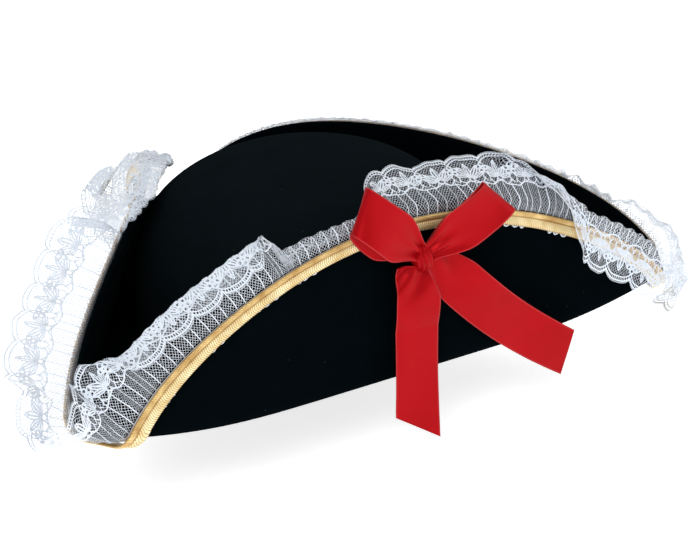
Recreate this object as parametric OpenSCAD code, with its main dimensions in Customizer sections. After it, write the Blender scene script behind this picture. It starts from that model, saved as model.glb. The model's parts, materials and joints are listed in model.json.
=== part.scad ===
// Tricorn pirate hat: felt crown and cocked felt brim, lace and braid round
// the edge, a satin ribbon bow on the front flap.
// +Z is up, the flap with the bow faces -Y, the back corner points to +Y.
// The origin is the middle of the head opening, halfway through the brim's felt.

/* [Head opening] */
// Inside width of the felt at the head opening, ear to ear
head_w = 182; // [150:1:220]
// Inside length of the felt at the head opening, front to back
head_l = 190; // [156:1:230]
// How far the crown sits behind the middle of the brim
crown_shift = 4; // [0:0.5:6]

/* [Felt] */
// Thickness of the felt
felt_t = 2.4; // [1.6:0.1:3.2]
// Height of the crown above the brim
crown_h = 92; // [70:1:120]

/* [Brim] */
// Flat brim left between the crown and each fold, at the middle of the flap
brim_flat = 6.6; // [4:0.2:12]
// Width of felt past the fold, at the middle of the front flap
flap_w = 92; // [60:1:97]
// Radius of the rolled fold
bend_r = 6.5; // [4:0.5:9]
// Inward lean of the front flap at its middle, in degrees
front_lean = -2; // [-10:1:6]
// Gap between the crown and a side flap, which leans in until it is this near
crown_gap = 2; // [1:0.5:6]
// How far the three corners rise
tip_lift = 13; // [0:1:25]

/* [Trim] */
// Width of lace that shows past the felt edge
lace_w = 36; // [20:1:45]
// Thickness of the gathered lace
lace_t = 0.6; // [0.4:0.1:1]
// Width of the gold braid
braid_w = 8; // [5:0.5:12]
// Thickness of the gold braid
braid_t = 1.4; // [0.8:0.1:2]
// Distance from the felt edge to the braid
braid_inset = 1.5; // [0.5:0.5:4]

/* [Bow] */
// Width of the satin ribbon
ribbon_w = 25; // [15:1:30]
// Thickness of the satin ribbon, with its selvedges
ribbon_t = 0.5; // [0.3:0.1:1]
// Distance of the knot from the middle of the front flap
bow_x = 5.5; // [-20:0.5:20]
// Gap between the braid and the knot below it
knot_gap = 2; // [1:0.5:20]
// Width of the knot
knot_w = 12; // [9:0.5:16]
// Height of the knot
knot_h = 16; // [14:1:26]
// Length of the left loop
left_loop_l = 45; // [35:1:60]
// Length of the right loop
right_loop_l = 50; // [35:1:60]
// Length of the left tail
left_tail_l = 85; // [50:1:110]
// Length of the right tail
right_tail_l = 102; // [50:1:120]

/* [Inside] */
// Height of the sweatband
band_h = 26; // [15:1:35]
// Thickness of the sweatband
band_t = 0.8; // [0.5:0.1:1.5]

/* [Hidden] */

black = "#0b0e11";
gold = "#c9a050";
red = "#c4141c";

// Small gap left between pieces that lie on each other
ease = 0.2;
// Steps round the brim, and round the crown and sweatband
brim_steps = 120;
crown_steps = 60;
// The three flaps face these ways
front_dir = 270;
left_dir = 150;
right_dir = 30;
// The higher this is, the squarer the crown's shoulder
crown_round = 3.4;

// ---- Plain helpers ----

function unit(v) = v / norm(v);
function mix(a, b, k) = a + (b - a) * k;
function clamp01(k) = min(max(k, 0), 1);
function smooth(k) = let (c = clamp01(k)) c * c * (3 - 2 * c);

// Skins a row of rings that all have the same number of points.
// A closed row joins its last ring to its first; an open row gets two end caps.
module skin(rings, closed = true) {
    n = len(rings);
    m = len(rings[0]);
    last = closed ? n - 1 : n - 2;
    sides = [for (i = [0:last], j = [0:m - 1])
        let (a = i * m + j, b = i * m + (j + 1) % m,
             c = ((i + 1) % n) * m + (j + 1) % m, d = ((i + 1) % n) * m + j)
        each [[a, b, c], [a, c, d]]];
    caps = closed ? [] : [[for (j = [m - 1:-1:0]) j], [for (j = [0:m - 1]) (n - 1) * m + j]];
    polyhedron(points = [for (r = rings) each r], faces = concat(sides, caps));
}

// ---- Crown profile and folds ----

// Share of the base radius left at a share of the crown's height
function crown_share(k) = sqrt(1 - pow(k, crown_round));
// How far the crown's felt reaches towards a flap
function crown_reach(dir) = crown_shift * sin(dir)
    + norm([(head_w / 2 + felt_t) * cos(dir), (head_l / 2 + felt_t) * sin(dir)]);
// Distance from the middle of the brim to the start of a flap's fold
function fold_at(dir) = crown_reach(dir) + brim_flat;

brim_r = fold_at(front_dir) + flap_w;
side_fold = fold_at(left_dir);
// The side flaps lean in until they come within the gap of the crown
side_lean = min([for (k = [0.3:0.05:0.9])
    atan2(side_fold + bend_r - felt_t / 2 - crown_gap - crown_reach(left_dir) * crown_share(k),
          crown_h * k - bend_r)]);

// ---- The cocked brim, as a map from its flat pattern ----

// Directions of the front corners, where the front fold meets the side folds
corner_x = (side_fold + fold_at(front_dir) * cos(left_dir - front_dir + 180)) / sin(60);
left_corner = 180 + atan2(fold_at(front_dir), corner_x);
right_corner = 540 - left_corner;
back_corner = 90;

// Flap that a direction belongs to, and how far that flap leans in
function flap_dir(a) = let (b = (a % 360 + 360) % 360)
    b >= left_corner && b < right_corner ? front_dir
    : b >= back_corner && b < left_corner ? left_dir : right_dir;
function flap_lean(dir) = dir == front_dir ? front_lean : side_lean;
function flap_half(fold) = sqrt(brim_r * brim_r - fold * fold);

// How near a direction is to one of the three corners, from 0 to 1
function corner_share(a) = pow((1 + cos(3 * (a - back_corner))) / 2, 3);

// The rise of the corners at flat radius r and direction a
function corner_rise(r, a) = tip_lift
    * pow(max((r - side_fold) / (brim_r - side_fold), 0), 2) * corner_share(a);

// Middle of the felt at flat radius r and direction a, both counted from the middle
// of the flat brim, which lies in front of the head opening's middle
function felt(r, a) = let (
    dir = flap_dir(a),
    fold = fold_at(dir),
    across = r * cos(a - dir),
    along = r * sin(a - dir),
    turn = 90 + flap_lean(dir) * clamp01(1 - pow(along / flap_half(fold), 2)),
    past = max(across - fold, 0),
    arc = min(past / bend_r * 180 / PI, turn),
    rest = max(past - bend_r * turn * PI / 180, 0),
    out = min(across, fold) + bend_r * sin(arc) + rest * cos(turn),
    z = bend_r * (1 - cos(arc)) + rest * sin(turn) + corner_rise(r, a))
    [out * cos(dir) - along * sin(dir), out * sin(dir) + along * cos(dir) - crown_shift, z];

// Directions in the felt: up towards the edge, along the edge, and the face that
// is the brim's top when it lies flat, which becomes the inside of each flap
function felt_up(r, a) = unit(felt(r, a) - felt(r - 0.5, a));
function felt_along(r, a) = unit(felt(r - 0.25, a + 0.1) - felt(r - 0.25, a - 0.1));
function felt_face(r, a) = unit(cross(felt_up(r, a), felt_along(r, a)));

// ---- Brim ----

// Radial stations of the brim in direction a: head opening, fold, flap, edge
function stations(a) = let (
    dir = flap_dir(a),
    c = cos(a - dir),
    inner = ray_to_oval(a),
    turn_l = bend_r * (90 + max(front_lean, side_lean)) * PI / 180,
    start = min(fold_at(dir) / c, brim_r - 9),
    end = min((fold_at(dir) + turn_l) / c, brim_r - 3))
    [inner, mix(inner, start, 0.5), start, mix(start, end, 0.2), mix(start, end, 0.4),
     mix(start, end, 0.6), mix(start, end, 0.8), end, mix(end, brim_r, 0.5), brim_r];

// Distance from the middle of the brim to the head opening in direction a
function ray_to_oval(a) = let (
    p = head_w / 2, q = head_l / 2,
    k = pow(cos(a) / p, 2) + pow(sin(a) / q, 2),
    m = -crown_shift * sin(a) / (q * q),
    n = pow(crown_shift / q, 2) - 1)
    (-m + sqrt(m * m - k * n)) / k;

module brim() {
    color(black) skin([for (i = [0:brim_steps - 1]) let (a = i * 360 / brim_steps, s = stations(a))
        concat(
            [for (r = s) felt(r, a) + felt_face(r, a) * felt_t / 2],
            [for (k = [len(s) - 1:-1:0]) felt(s[k], a) - felt_face(s[k], a) * felt_t / 2])]);
}

// ---- Crown and sweatband ----

function oval(half_w, half_l, a) = [half_w * cos(a), half_l * sin(a)];
function oval_ring(half_w, half_l, z) =
    [for (i = [0:crown_steps - 1]) let (a = i * 360 / crown_steps)
        concat(oval(half_w, half_l, a), [z])];

module crown() {
    inner_w = head_w / 2;
    inner_l = head_l / 2;
    base = felt_t / 2 + ease;
    levels = [0, 0.25, 0.45, 0.6, 0.72, 0.82, 0.9, 0.95, 0.98, 0.999];
    color(black) skin(concat(
        [for (j = [len(levels) - 1:-1:0]) let (k = levels[j], s = crown_share(k))
            oval_ring(inner_w * s, inner_l * s, base + (crown_h - felt_t) * k)],
        [for (k = levels) let (s = crown_share(k))
            oval_ring((inner_w + felt_t) * s, (inner_l + felt_t) * s, base + crown_h * k)]),
        closed = false);
}

// The sweatband stands a little inside the felt, and follows the crown's wall as it closes in
band_gap = 2 * ease;
function wall_share(z) = crown_share(clamp01((z - felt_t / 2) / (crown_h - felt_t)));

// Ring point of the band, at a depth from the felt's inside
function band_point(a, z, depth) = let (p = oval(head_w / 2 * wall_share(z) - depth,
                                                 head_l / 2 * wall_share(z) - depth, a))
    [p[0], p[1], z];

module sweatband() {
    low = -felt_t / 2;
    levels = [low, low + band_h / 2, low + band_h];
    color("#17181a") skin([for (i = [0:crown_steps - 1]) let (a = i * 360 / crown_steps)
        concat([for (z = levels) band_point(a, z, band_gap)],
               [for (k = [2:-1:0]) band_point(a, levels[k], band_gap + band_t)])]);
}

// One row of stitches along the sweatband's lower edge
stitch_l = 5;
stitch_r = 0.35;
stitch_count = 60;
stitch_z = 3.5;

module sweatband_stitches() {
    inset = band_gap + band_t + stitch_r + ease;
    for (i = [0:stitch_count - 1]) {
        a = (i + 0.5) * 360 / stitch_count;
        color("#2a2c30") translate(band_point(a, stitch_z, inset))
            rotate([0, 0, atan2(head_l * cos(a), -head_w * sin(a))]) rotate([0, 90, 0])
                cylinder(r = stitch_r, h = stitch_l, center = true, $fn = 16);
    }
}

// A blank woven label, sewn over the sweatband at the back
label_half = 8;
label_z = [8, 22];
label_t = 0.3;

module care_label() {
    near = band_gap + band_t + ease;
    color("white") skin([for (a = [90 + label_half:-label_half / 4:90 - label_half])
        [band_point(a, label_z[0], near), band_point(a, label_z[0], near + label_t),
         band_point(a, label_z[1], near + label_t), band_point(a, label_z[1], near)]],
        closed = false);
}

// ---- Lace and braid along the brim's edge ----

// How the lace lies past the felt edge, as [direction, lean in degrees, share of its
// width before it folds back on itself]: above 0 it leans in over the edge, below 0 it
// falls outside
lace_lay = [[90, -120, 1], [98, -136, 1], [106, -60, 0.3], [112, 60, 0.4], [120, 96, 0.6],
            [137, 98, 0.55], [144, 88, 0.45], [157, 86, 0.4], [163, 82, 0.35], [169, 20, 0.3],
            [175, -86, 1], [190, -84, 1], [199, -70, 1], [205, -26, 1], [210, 18, 1], [216, 50, 0.8],
            [224, 42, 0.68], [246, 42, 0.66], [250, 45, 0.6], [254, 60, 0.3], [264, 60, 0.3],
            [270, 70, 0.7], [276, 74, 1], [284, 66, 0.9], [292, 50, 0.65], [298, 20, 0.4],
            [303, -60, 0.35], [308, -140, 0.7], [313, -162, 1], [324, -160, 1], [331, -130, 1],
            [340, -118, 1], [364, -146, 1], [384, -160, 1], [432, -160, 1], [450, -120, 1]];
function lay_at(a, i = 1) = let (b = a < 90 ? a + 360 : a, p = lace_lay[i - 1], q = lace_lay[i])
    b <= q[0] || i == len(lace_lay) - 1
        ? mix([p[1], p[2]], [q[1], q[2]], smooth((b - p[0]) / (q[0] - p[0])))
        : lay_at(a, i + 1);

lace_header = braid_inset + braid_w - 0.5;
// Gap left under trim that lies on the curved felt. It is wider where the felt curves
// most, at the corners.
trim_gap = 0.6;
corner_gap = 0.9;
function gap_at(a) = trim_gap + corner_gap * corner_share(a);
function lace_off(a) = felt_t / 2 + gap_at(a) + lace_t / 2;

// The lace past the felt edge, as [up from the edge, out from the middle of the felt]
function lace_line(lean, share, off) = let (
    turn = 3,
    a = [turn, off],
    b = a + 5 * [cos(lean / 2), -sin(lean / 2)],
    c = b + (share * lace_w - turn - 5) * [cos(lean), -sin(lean)])
    [[0, off], a, b, mix(b, c, 0.5), c];
function line_side(p, k) = unit(p[min(k + 1, len(p) - 1)] - p[max(k - 1, 0)]);

module lace_trim() {
    // The header lies on the outside of the felt, from under the braid up to the edge
    header = [brim_r - lace_header, brim_r - lace_header * 2 / 3, brim_r - lace_header / 3];
    color("white", 0.9) skin([for (i = [0:brim_steps - 1]) let (
        a = i * 360 / brim_steps,
        e = felt(brim_r, a), up = felt_up(brim_r, a), out = -felt_face(brim_r, a),
        lay = lay_at(a), off = lace_off(a), p = lace_line(lay[0], lay[1], off),
        // Both faces of the lace at a point of its line
        face = function (k, side) let (d = line_side(p, k), q = p[k] + side * lace_t / 2 * [-d[1], d[0]])
            e + up * q[0] + out * q[1],
        under = function (r, side) felt(r, a) - felt_face(r, a) * (off - side * lace_t / 2))
        concat(
            [for (k = [len(p) - 1:-1:0]) face(k, 1)],
            [for (k = [len(header) - 1:-1:0]) under(header[k], -1)],
            [for (r = header) under(r, 1)],
            [for (k = [0:len(p) - 1]) face(k, -1)])]);
}

module gold_braid() {
    top = brim_r - braid_inset;
    rows = [top - braid_w, top - braid_w / 2, top];
    color(gold) skin([for (i = [0:brim_steps - 1]) let (
        a = i * 360 / brim_steps, near = felt_t / 2 + 2 * gap_at(a) + lace_t)
        concat([for (r = rows) felt(r, a) - felt_face(r, a) * near],
               [for (k = [2:-1:0]) felt(rows[k], a) - felt_face(rows[k], a) * (near + braid_t)])]);
}

// ---- The bow ----

// The knot hangs this far below the felt edge
bow_drop = braid_inset + braid_w + knot_gap + knot_h / 2;
// Height of the knot's middle, the outside of the front flap there, and of the braid
bow_z = felt(brim_r, front_dir)[2] - bow_drop;
flap_y = felt(brim_r - bow_drop, front_dir)[1] - felt_t / 2;
braid_y = flap_y - 2 * trim_gap - lace_t - braid_t;
loop_depth = 7;
loop_y = braid_y - loop_depth - 1;
knot_y = [flap_y - ease - knot_h / 2 * abs(tan(front_lean)), loop_y - 4];
knot_round = 3;

module bow_knot() {
    color(red) translate([bow_x, 0, bow_z]) rotate([90, 0, 0])
        translate([0, 0, -knot_y[0]]) linear_extrude(knot_y[0] - knot_y[1])
            translate([-knot_w / 2 + knot_round, -knot_h / 2 + knot_round])
                rounded(knot_w - 2 * knot_round, knot_h - 2 * knot_round, knot_round);
}

module rounded(w, h, r) {
    translate([0, -r]) square([w, h + 2 * r]);
    translate([-r, 0]) square([w + 2 * r, h]);
    for (x = [0, w], y = [0, h]) translate([x, y]) circle(r = r, $fn = 32);
}

// Ring of a flat ribbon at point c, with its width direction and its thickness direction
function ribbon_ring(c, across, through, w) = [
    c - across * w / 2 - through * ribbon_t / 2, c + across * w / 2 - through * ribbon_t / 2,
    c + across * w / 2 + through * ribbon_t / 2, c - across * w / 2 + through * ribbon_t / 2];

// A loop that leaves the knot at an angle above the horizontal, on its right or left side
pinch_w = 11;

module bow_loop(angle, length) {
    reach = [cos(angle), 0, sin(angle)];
    across = [-sin(angle), 0, cos(angle)];
    // Where the loop leaves the knot's side, as a share of its length
    root = (knot_w / 2 / max(abs(cos(angle)), sin(angle) * knot_w / knot_h) + 1) / length;
    first = asin(min(root + pinch_w / 2 * abs(sin(angle)) / length, 0.6));
    steps = 22;
    color(red) skin([for (i = [0:steps]) let (
        s = mix(first, 180 - first, i / steps),
        c = [bow_x, loop_y, bow_z] + reach * length * sin(s) + [0, -loop_depth * sin(2 * s), 0],
        d = unit(reach * length * cos(s) + [0, -2 * loop_depth * cos(2 * s), 0]),
        w = mix(pinch_w, ribbon_w, smooth(sin(s) / 0.55)))
        ribbon_ring(c, across, unit(cross(d, across)), w)], closed = false);
}

left_loop_angle = 140;
right_loop_angle = 30;

module bow_loop_left() { bow_loop(left_loop_angle, left_loop_l); }
module bow_loop_right() { bow_loop(right_loop_angle, right_loop_l); }

// Tails hang from under the knot. Each starts narrow, opens to the ribbon's full
// width, and ends in a slanted cut.
tail_y = (knot_y[0] + knot_y[1]) / 2 + 1;
tail_drop = 1;
tail_side = 4.5;
// Share of a tail's length at which it has opened to the ribbon's width
tail_opens = 0.2;

module ribbon_tail(root, angle, bow, length, cut) {
    steps = 16;
    color(red) skin([for (i = [0:steps]) let (
        k = i / steps,
        turn = angle + bow * (k - 0.5),
        c = root + length * k * [cos(angle + bow * (k - 1) / 2), 0, sin(angle + bow * (k - 1) / 2)],
        w = mix(pinch_w, ribbon_w, smooth(k / tail_opens)),
        slant = cut * smooth((k - 0.7) / 0.3),
        across = [-sin(turn), 0, cos(turn)],
        along = [cos(turn), 0, sin(turn)],
        p = c + across * w / 2 + along * slant,
        q = c - across * w / 2 - along * slant,
        t = [0, ribbon_t / 2, 0])
        [p - t, p + t, q + t, q - t]], closed = false);
}

// Root of each tail, just clear of the knot
left_root = [bow_x - tail_side / 2, tail_y, bow_z - knot_h / 2 - tail_drop];
right_root = [bow_x + knot_w / 2 + tail_side, tail_y, bow_z - knot_h / 2 + tail_drop];

module ribbon_tail_left() { ribbon_tail(left_root, -94, 2, left_tail_l, 8); }
module ribbon_tail_right() { ribbon_tail(right_root, -44, 18, right_tail_l, -7); }

// Thread bars inside the front flap that hold the knot
module bow_stitches() {
    inside_y = flap_y + felt_t + stitch_r + ease / 2;
    for (dz = [-5, 0, 5])
        color("#8f1015") translate([bow_x, inside_y + dz * tan(front_lean), bow_z + dz])
            rotate([0, 90, 0]) cylinder(r = stitch_r, h = stitch_l, center = true, $fn = 16);
}

crown();
brim();
sweatband();
sweatband_stitches();
care_label();
lace_trim();
gold_braid();
bow_loop_left();
bow_loop_right();
bow_knot();
bow_stitches();
ribbon_tail_left();
ribbon_tail_right();
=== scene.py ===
import json
import math

import bpy
import numpy as np
from mathutils import Matrix, Vector


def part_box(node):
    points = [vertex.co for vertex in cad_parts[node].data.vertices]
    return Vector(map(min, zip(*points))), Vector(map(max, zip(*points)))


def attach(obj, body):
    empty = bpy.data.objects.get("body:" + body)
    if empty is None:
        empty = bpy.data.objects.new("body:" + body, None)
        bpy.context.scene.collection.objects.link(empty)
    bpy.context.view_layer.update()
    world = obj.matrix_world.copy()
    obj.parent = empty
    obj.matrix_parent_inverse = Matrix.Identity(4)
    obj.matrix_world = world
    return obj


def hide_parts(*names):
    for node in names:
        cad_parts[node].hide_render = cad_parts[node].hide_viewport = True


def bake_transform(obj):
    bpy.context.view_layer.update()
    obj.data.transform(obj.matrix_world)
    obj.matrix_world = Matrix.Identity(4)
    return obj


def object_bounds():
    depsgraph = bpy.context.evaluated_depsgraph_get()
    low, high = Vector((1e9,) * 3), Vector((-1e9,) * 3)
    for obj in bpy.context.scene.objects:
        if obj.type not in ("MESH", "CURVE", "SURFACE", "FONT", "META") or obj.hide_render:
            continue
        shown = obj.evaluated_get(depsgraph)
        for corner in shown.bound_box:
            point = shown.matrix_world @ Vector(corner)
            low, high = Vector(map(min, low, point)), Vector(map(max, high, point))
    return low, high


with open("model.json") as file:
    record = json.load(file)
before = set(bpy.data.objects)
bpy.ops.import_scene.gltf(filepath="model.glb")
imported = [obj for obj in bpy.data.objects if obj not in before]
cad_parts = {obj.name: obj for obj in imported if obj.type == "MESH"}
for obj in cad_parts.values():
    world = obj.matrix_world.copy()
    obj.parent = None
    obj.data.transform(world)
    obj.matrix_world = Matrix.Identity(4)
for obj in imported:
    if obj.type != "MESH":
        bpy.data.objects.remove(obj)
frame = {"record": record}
cad_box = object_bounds()

# ---- Studio ----
# A wide, flat, pale table, lit by a white sky and three soft boxes. The camera looks down at
# the hat's left front, tipped a little to one side.
table_gap, table_size, table_glow, sky_glow = 0.012, 12, 0.75, 0.45

bpy.ops.mesh.primitive_plane_add(size=table_size, location=(0, 0, cad_box[0][2] - table_gap))
table = bpy.context.object
table.name = "table"
white_paint = bpy.data.materials.new("white_table")
white_paint.use_nodes = True
for socket, value in (("Base Color", (0.9, 0.9, 0.9, 1)), ("Roughness", 0.9),
                      ("Emission Color", (1, 1, 1, 1)), ("Emission Strength", table_glow)):
    white_paint.node_tree.nodes["Principled BSDF"].inputs[socket].default_value = value
table.data.materials.append(white_paint)

sky = bpy.data.worlds.new("white_sky")
sky.use_nodes = True
sky.node_tree.nodes["Background"].inputs["Color"].default_value = (1, 1, 1, 1)
sky.node_tree.nodes["Background"].inputs["Strength"].default_value = sky_glow
bpy.context.scene.world = sky
bpy.context.scene.view_settings.view_transform = "Standard"


def soft_box(name, place, size, power):
    """A square soft light at a place, turned towards the hat."""
    light = bpy.data.lights.new(name, "AREA")
    light.size, light.energy = size, power
    lamp = bpy.data.objects.new(name, light)
    lamp.location = place
    lamp.rotation_euler = (-Vector(place)).to_track_quat("-Z", "Y").to_euler()
    bpy.context.scene.collection.objects.link(lamp)


soft_box("key_light", (-0.9, -1.3, 1.5), 0.9, 17)
soft_box("fill_light", (1.4, -0.9, 0.8), 1.0, 6)
soft_box("back_light", (0.3, 1.6, 1.2), 0.9, 8)

view_turn, view_height, view_roll = math.radians(-27), math.radians(22.3), math.radians(-5)
view_aim, view_distance = Vector((0.018, -0.018, 0.018)), 1.3
lens = bpy.data.cameras.new("camera")
lens.lens, lens.sensor_width = 123, 36
camera = bpy.data.objects.new("camera", lens)
away = Vector((math.sin(view_turn) * math.cos(view_height),
               -math.cos(view_turn) * math.cos(view_height), math.sin(view_height)))
turned = (-away).to_track_quat("-Z", "Y").to_matrix() @ Matrix.Rotation(view_roll, 3, "Z")
camera.matrix_world = Matrix.Translation(view_aim + away * view_distance) @ turned.to_4x4()
bpy.context.scene.collection.objects.link(camera)
bpy.context.scene.camera = camera

# ---- Brim ----
# One flat ring of black wool felt, cocked up along three folds into a front flap and two
# side flaps that lean in against the crown. The felt keeps its bends because it is stiffened.
felt_thick = 0.0024
brim_width_past_fold = 0.092
brim_flat = 0.0066
bend_radius = 0.0065
front_lean = -2
crown_gap = 0.002
tip_lift = 0.013
crown_back = 0.004
crown_low, crown_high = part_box("crown")
crown_height = 0.092
crown_round = 3.4
front_dir, left_dir, right_dir, back_corner = 270, 150, 30, 90
lift_step, turn_step = 0.0005, 0.1


def unit(v):
    return v / np.linalg.norm(v, axis=-1, keepdims=True)


def smooth(k):
    k = np.clip(k, 0, 1)
    return k * k * (3 - 2 * k)


def cosd(a):
    return np.cos(np.radians(a))


def sind(a):
    return np.sin(np.radians(a))


def crown_reach(direction):
    """How far the crown's felt reaches towards a flap, from the brim's middle."""
    return crown_back * sind(direction) + math.hypot(crown_high.x * cosd(direction),
                                                     crown_high.y * sind(direction))


front_fold = crown_reach(front_dir) + brim_flat
side_fold = crown_reach(left_dir) + brim_flat
brim_radius = front_fold + brim_width_past_fold
corner_x = (side_fold + front_fold * cosd(60)) / sind(60)
left_corner = 180 + math.degrees(math.atan2(front_fold, corner_x))
right_corner = 540 - left_corner
crown_shares = np.arange(0.3, 0.91, 0.05)
side_lean = np.degrees(np.arctan2(
    side_fold + bend_radius - felt_thick / 2 - crown_gap
    - crown_reach(left_dir) * np.sqrt(1 - crown_shares ** crown_round),
    crown_height * crown_shares - bend_radius)).min()


def corner_share(a):
    """How near a direction is to one of the three corners, from 0 to 1."""
    return ((1 + cosd(3 * (a - back_corner))) / 2) ** 3


def cocked(r, a):
    """Middle of the felt at flat radius r and direction a, both from the brim's middle."""
    b = a % 360
    in_front = (b >= left_corner) & (b < right_corner)
    at_left = (b >= back_corner) & (b < left_corner)
    flap = np.where(in_front, front_dir, np.where(at_left, left_dir, right_dir))
    fold = np.where(in_front, front_fold, side_fold)
    lean = np.where(in_front, front_lean, side_lean)
    across, along = r * cosd(a - flap), r * sind(a - flap)
    half = np.sqrt(brim_radius ** 2 - fold ** 2)
    turn = 90 + lean * np.clip(1 - (along / half) ** 2, 0, 1)
    past = np.maximum(across - fold, 0)
    arc = np.minimum(np.degrees(past / bend_radius), turn)
    rest = np.maximum(past - bend_radius * np.radians(turn), 0)
    out = np.minimum(across, fold) + bend_radius * sind(arc) + rest * cosd(turn)
    outer_share = np.maximum((r - side_fold) / (brim_radius - side_fold), 0)
    rise = tip_lift * outer_share ** 2 * corner_share(a)
    z = bend_radius * (1 - cosd(arc)) + rest * sind(turn) + rise
    return np.stack([out * cosd(flap) - along * sind(flap),
                     out * sind(flap) + along * cosd(flap) - crown_back, z], -1)


def felt_frame(r, a):
    """Directions in the felt: up towards the edge, and the face that lies inside each flap."""
    up = unit(cocked(r, a) - cocked(r - lift_step, a))
    along = unit(cocked(r - lift_step / 2, a + turn_step) - cocked(r - lift_step / 2, a - turn_step))
    return up, unit(np.cross(up, along))


def head_opening(a):
    """Distance from the brim's middle to the head opening."""
    p, q = crown_high.x - felt_thick, crown_high.y - felt_thick
    k = (cosd(a) / p) ** 2 + (sind(a) / q) ** 2
    m = -crown_back * sind(a) / q ** 2
    return (-m + np.sqrt(m * m - k * ((crown_back / q) ** 2 - 1))) / k


def grid_faces(rows, columns, ring, loop):
    """Quads between neighbours of a grid; ring joins the last row to the first, loop the columns."""
    i, j = np.meshgrid(np.arange(rows if ring else rows - 1),
                       np.arange(columns if loop else columns - 1), indexing="ij")
    i, j = i.ravel(), j.ravel()
    k, l = (i + 1) % rows, (j + 1) % columns
    faces = np.stack([i * columns + j, k * columns + j, k * columns + l, i * columns + l], 1)
    corners = np.stack([np.stack([i, j], 1), np.stack([i + 1, j], 1),
                        np.stack([i + 1, j + 1], 1), np.stack([i, j + 1], 1)], 1)
    return faces, corners


def make_piece(name, points, faces):
    """A smooth-shaded mesh object."""
    mesh = bpy.data.meshes.new(name)
    mesh.from_pydata(points.reshape(-1, 3).tolist(), [], faces.tolist())
    mesh.polygons.foreach_set("use_smooth", [True] * len(mesh.polygons))
    piece = bpy.data.objects.new(name, mesh)
    bpy.context.scene.collection.objects.link(piece)
    return piece


def end_caps(rows, columns, margin=0.4):
    """Quads that close both ends of a closed section, laid out in a margin past its rows."""
    j = np.arange(columns // 2 - 1)
    faces, corners = [], []
    for row, turn, past in ((0, 1, -margin), (rows - 1, -1, margin)):
        quad = row * columns + np.stack([j, columns - 1 - j, columns - 2 - j, j + 1], 1)
        place = np.stack([np.stack([at + 0 * j, k], 1) for at, k in
                          ((row, j), (row + past, j), (row + past, j + 1), (row, j + 1))], 1)
        faces.append(quad[:, ::turn])
        corners.append(place[:, ::turn])
    return np.concatenate(faces), np.concatenate(corners)


def grid_piece(name, points, ring=False, loop=False, strips=1, caps=False):
    """A mesh from a grid of points, laid out for baking in strips one above the other."""
    rows, columns = points.shape[:2]
    faces, corners = grid_faces(rows, columns, ring, loop)
    if caps:
        ends, places = end_caps(rows, columns)
        faces, corners = np.concatenate([faces, ends]), np.concatenate([corners, places])
    piece = make_piece(name, points, faces)
    length = math.ceil(rows / strips)
    row, column = corners[..., 0], corners[..., 1]
    strip = np.minimum(row[:, :1] // length, strips - 1)
    margin = 0.01
    u = margin + (1 - 2 * margin) * (row - strip * length) / length
    v = (strip + margin + (1 - 2 * margin) * column / columns) / strips
    layout = piece.data.uv_layers.new(name="OFBake")
    layout.data.foreach_set("uv", np.stack([u, v], -1).ravel())
    return piece


def slab(points, half):
    """A closed section across a grid of points, half a thickness on either side of it."""
    along, across = np.gradient(points, axis=0), np.gradient(points, axis=1)
    out = unit(np.cross(along, across)) * half
    return np.concatenate([points + out, (points - out)[:, ::-1]], 1)


class Wire:
    """What a shader node gives out. Arithmetic on it adds Math nodes."""

    def __init__(self, finish, socket):
        self.finish, self.socket = finish, socket

    def sum(self, operation, *values):
        return self.finish.add("ShaderNodeMath", {"operation": operation}, dict(enumerate(values)))

    def __add__(self, other):
        return self.sum("ADD", self, other)

    def __sub__(self, other):
        return self.sum("SUBTRACT", self, other)

    def __rsub__(self, other):
        return self.sum("SUBTRACT", other, self)

    def __mul__(self, other):
        return self.sum("MULTIPLY", self, other)

    def __gt__(self, other):
        return self.sum("GREATER_THAN", self, other)

    def __lt__(self, other):
        return self.sum("LESS_THAN", self, other)

    __radd__, __rmul__ = __add__, __mul__


class Finish:
    """A material. Keywords of the first call set the shader's own sockets."""

    def __init__(self, name, sockets):
        self.material = bpy.data.materials.new(name)
        self.material.use_nodes = True
        self.tree = self.material.node_tree
        self.shader = self.tree.nodes["Principled BSDF"]
        self.feed(self.shader, sockets)

    def feed(self, node, sockets):
        for key, value in sockets.items():
            if isinstance(value, Wire):
                self.tree.links.new(value.socket, node.inputs[key])
            else:
                node.inputs[key].default_value = value

    def add(self, kind, settings, sockets, output=0):
        """Adds a node and gives one of its outputs."""
        node = self.tree.nodes.new(kind)
        for key, value in settings.items():
            setattr(node, key, value)
        self.feed(node, sockets)
        return Wire(self, node.outputs[output])

    def place(self):
        return self.add("ShaderNodeTexCoord", {}, {}, "Object")

    def cloth(self):
        return self.add("ShaderNodeAttribute", {"attribute_name": "cloth"}, {}, "Vector")

    def noise(self, where, scale, detail=3, rough=0.6):
        return self.add("ShaderNodeTexNoise", {}, {"Vector": where, "Scale": scale, "Detail": detail,
                                                   "Roughness": rough})

    def blend(self, mask, low, high):
        """One colour where mask is 0, the other where it is 1."""
        return self.add("ShaderNodeMix", {"data_type": "RGBA"}, {0: mask, 6: low, 7: high}, 2)

    def relief(self, height, depth, strength=1.0):
        """Bump from a height of 0 to 1 that stands for a depth in metres."""
        bump = self.add("ShaderNodeBump", {}, {"Height": height, "Distance": depth,
                                               "Strength": strength})
        self.feed(self.shader, {"Normal": bump})

    def put_on(self, *finished):
        for piece in finished:
            piece.data.materials.append(self.material)


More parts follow.
